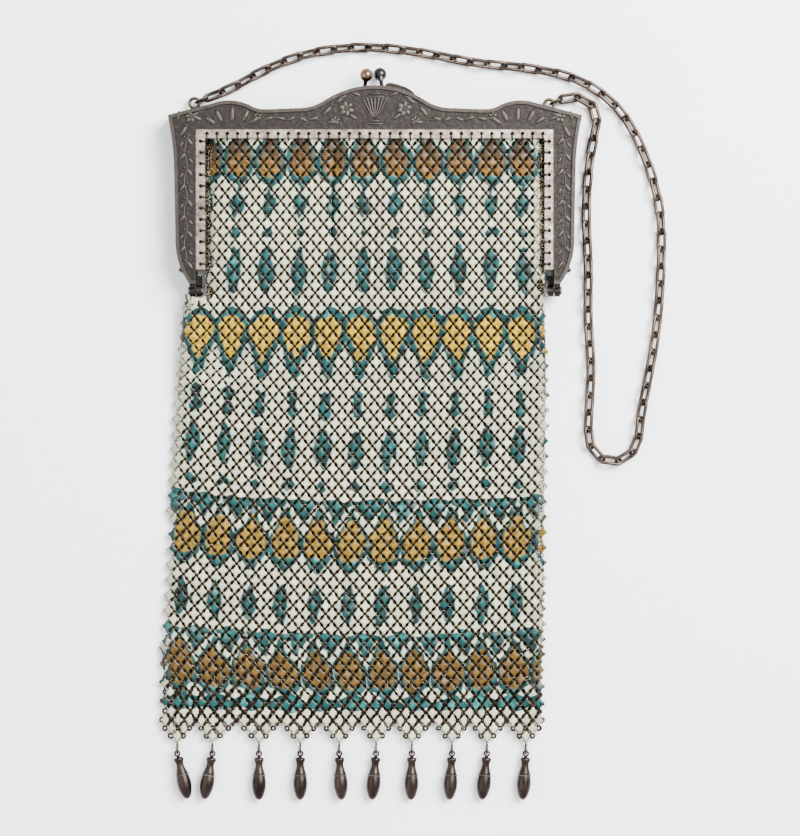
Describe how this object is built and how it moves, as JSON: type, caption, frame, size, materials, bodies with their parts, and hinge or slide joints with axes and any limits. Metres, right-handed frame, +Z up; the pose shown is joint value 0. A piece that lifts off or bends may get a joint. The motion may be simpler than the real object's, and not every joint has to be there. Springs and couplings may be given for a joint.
{
  "type": "evening bag",
  "caption": "Flat evening purse of enamelled metal mesh on a hinged embossed metal frame with a ball clasp, a chain handle and metal drops along a zigzag hem.",
  "frame": {"origin": "on the surface the bag lies on, under the middle of the bag's own box, without the chain", "axes": "+X across the frame to the right seen from the front, +Y from the hem to the clasp, +Z up out of the front"},
  "size_m": [0.13, 0.1949, 0.008],
  "materials": {
    "frame_silver": "darkened silver plate, embossed, satin",
    "rail_champagne": "bright plated strip, slightly pink",
    "ring_bronze": "dark brown bronze wire",
    "mesh_enamel": "pearl cream enamel on small metal plates, with printed gold ovals outlined in teal",
    "pin_steel": "dark satin",
    "clasp_bronze": "worn bronze",
    "chain_silver": "worn silver plate, slightly green",
    "drop_bronze": "dark bronze, satin"
  },
  "bodies": {
    "root": {"back_frame": "frame_silver", "back_rail": "rail_champagne", "back_rail_rings": "ring_bronze", "back_mesh": "mesh_enamel", "front_mesh_lower": "mesh_enamel", "hinge_pin_left": "pin_steel", "hinge_pin_right": "pin_steel", "clasp_ball_back": "clasp_bronze", "hem_rings": "ring_bronze", "chain_eyelet_left": "frame_silver", "chain_eyelet_right": "frame_silver", "jump_ring_left": "chain_silver", "jump_ring_right": "chain_silver", "handle_chain": "chain_silver"},
    "front_half": {"front_frame": "frame_silver", "front_rail": "rail_champagne", "front_rail_rings": "ring_bronze", "front_mesh_upper": "mesh_enamel", "clasp_ball_front": "clasp_bronze"},
    "drop_1": {"drop_1_cap": "drop_bronze", "drop_1_bulb": "drop_bronze"},
    "drop_2": {"drop_2_cap": "drop_bronze", "drop_2_bulb": "drop_bronze"},
    "drop_3": {"drop_3_cap": "drop_bronze", "drop_3_bulb": "drop_bronze"},
    "drop_4": {"drop_4_cap": "drop_bronze", "drop_4_bulb": "drop_bronze"},
    "drop_5": {"drop_5_cap": "drop_bronze", "drop_5_bulb": "drop_bronze"},
    "drop_6": {"drop_6_cap": "drop_bronze", "drop_6_bulb": "drop_bronze"},
    "drop_7": {"drop_7_cap": "drop_bronze", "drop_7_bulb": "drop_bronze"},
    "drop_8": {"drop_8_cap": "drop_bronze", "drop_8_bulb": "drop_bronze"},
    "drop_9": {"drop_9_cap": "drop_bronze", "drop_9_bulb": "drop_bronze"},
    "drop_10": {"drop_10_cap": "drop_bronze", "drop_10_bulb": "drop_bronze"}
  },
  "joints": [
    {"name": "frame_open", "type": "hinge", "parent": "root", "child": "front_half", "pos_m": [0.00103, 0.0367, 0.004], "axis": [1, 0, 0], "range_deg": [0, 90]},
    {"name": "drop_1_swing", "type": "hinge", "parent": "root", "child": "drop_1", "pos_m": [-0.0498, -0.08215, 0.0018], "axis": [0, 0, 1], "range_deg": [-10, 4]},
    {"name": "drop_2_swing", "type": "hinge", "parent": "root", "child": "drop_2", "pos_m": [-0.0408, -0.08215, 0.0018], "axis": [0, 0, 1], "range_deg": [-4, 10]},
    {"name": "drop_3_swing", "type": "hinge", "parent": "root", "child": "drop_3", "pos_m": [-0.0288, -0.08215, 0.0018], "axis": [0, 0, 1], "range_deg": [-10, 10]},
    {"name": "drop_4_swing", "type": "hinge", "parent": "root", "child": "drop_4", "pos_m": [-0.0182, -0.08215, 0.0018], "axis": [0, 0, 1], "range_deg": [-10, 10]},
    {"name": "drop_5_swing", "type": "hinge", "parent": "root", "child": "drop_5", "pos_m": [-0.0082, -0.08215, 0.0018], "axis": [0, 0, 1], "range_deg": [-10, 10]},
    {"name": "drop_6_swing", "type": "hinge", "parent": "root", "child": "drop_6", "pos_m": [0.0013, -0.08215, 0.0018], "axis": [0, 0, 1], "range_deg": [-10, 10]},
    {"name": "drop_7_swing", "type": "hinge", "parent": "root", "child": "drop_7", "pos_m": [0.0105, -0.08215, 0.0018], "axis": [0, 0, 1], "range_deg": [-10, 10]},
    {"name": "drop_8_swing", "type": "hinge", "parent": "root", "child": "drop_8", "pos_m": [0.0208, -0.08215, 0.0018], "axis": [0, 0, 1], "range_deg": [-10, 10]},
    {"name": "drop_9_swing", "type": "hinge", "parent": "root", "child": "drop_9", "pos_m": [0.0298, -0.08215, 0.0018], "axis": [0, 0, 1], "range_deg": [-10, 10]},
    {"name": "drop_10_swing", "type": "hinge", "parent": "root", "child": "drop_10", "pos_m": [0.0398, -0.08215, 0.0018], "axis": [0, 0, 1], "range_deg": [-10, 10]}
  ]
}
